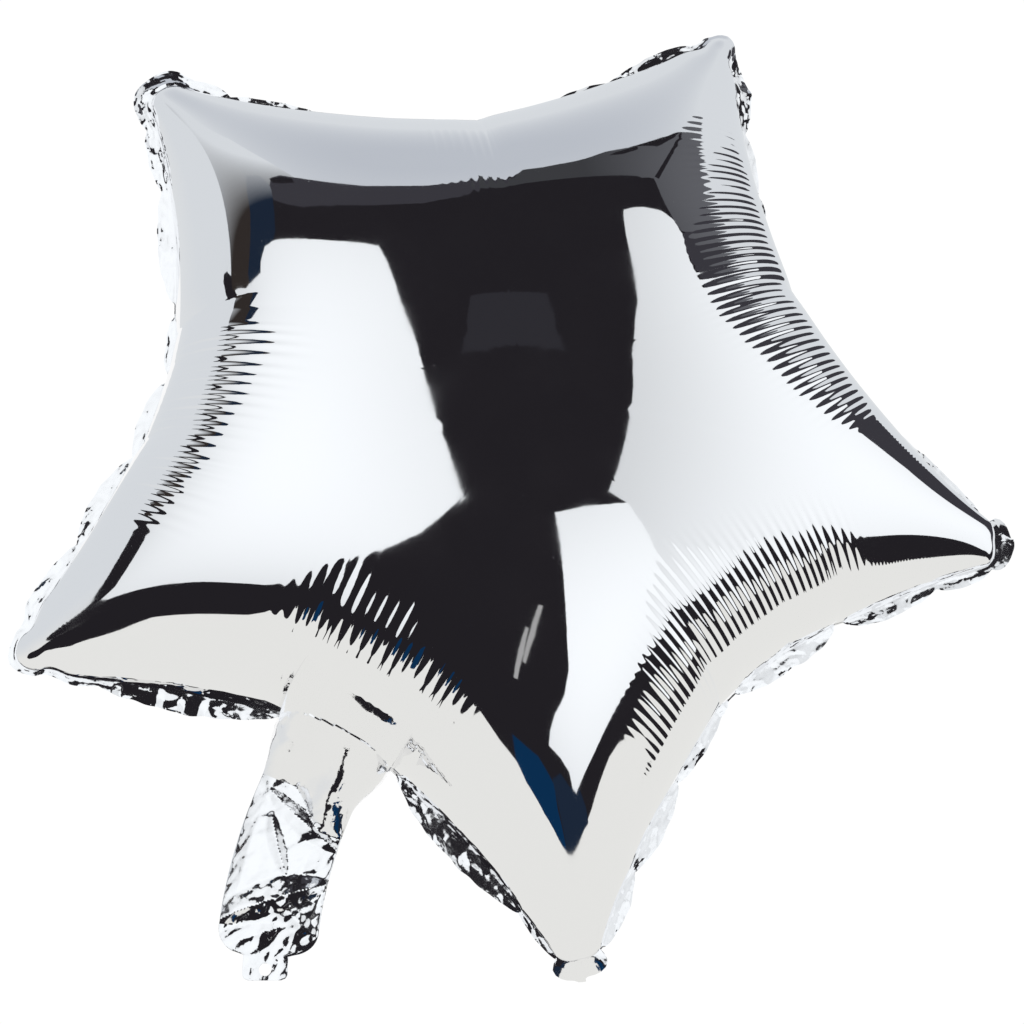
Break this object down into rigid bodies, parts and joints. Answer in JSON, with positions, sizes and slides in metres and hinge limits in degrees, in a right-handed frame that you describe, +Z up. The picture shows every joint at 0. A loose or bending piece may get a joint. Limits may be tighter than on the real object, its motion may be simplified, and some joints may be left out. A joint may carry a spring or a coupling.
{
  "type": "star foil balloon",
  "caption": "Inflated star of mirror-bright metallised film: two bulged panels, a crinkled welded border and a flat filling neck with a tie tab.",
  "frame": {"origin": "centre of the star, in the plane of its seam", "axes": "+Z up along the top arm, +X to the right seen from the front, -Y out of the front panel"},
  "size_m": [0.4372, 0.1524, 0.4769],
  "materials": {
    "panel_foil": "mirror-bright aluminium-metallised film, stretched smooth by the gas",
    "border_foil": "mirror-bright aluminium-metallised film, welded flat and crinkled",
    "neck_foil": "mirror-bright aluminium-metallised film, creased and crumpled"
  },
  "bodies": {
    "envelope": {"front_panel": "panel_foil", "back_panel": "panel_foil", "border_upper_right": "border_foil", "border_right_side": "border_foil", "border_bottom": "border_foil", "border_left_side": "border_foil", "border_upper_left": "border_foil", "corner_top": "border_foil", "corner_right": "border_foil", "corner_lower_right": "border_foil", "corner_lower_left": "border_foil", "corner_left": "border_foil", "neck_root": "neck_foil"},
    "neck": {"neck_front_ply": "neck_foil", "neck_back_ply": "neck_foil", "tie_tab": "neck_foil"}
  },
  "joints": [
    {"name": "neck_fold", "type": "hinge", "parent": "envelope", "child": "neck", "pos_m": [0, 0, -0.1586], "axis": [1, 0, 0], "range_deg": [-80, 80]}
  ]
}
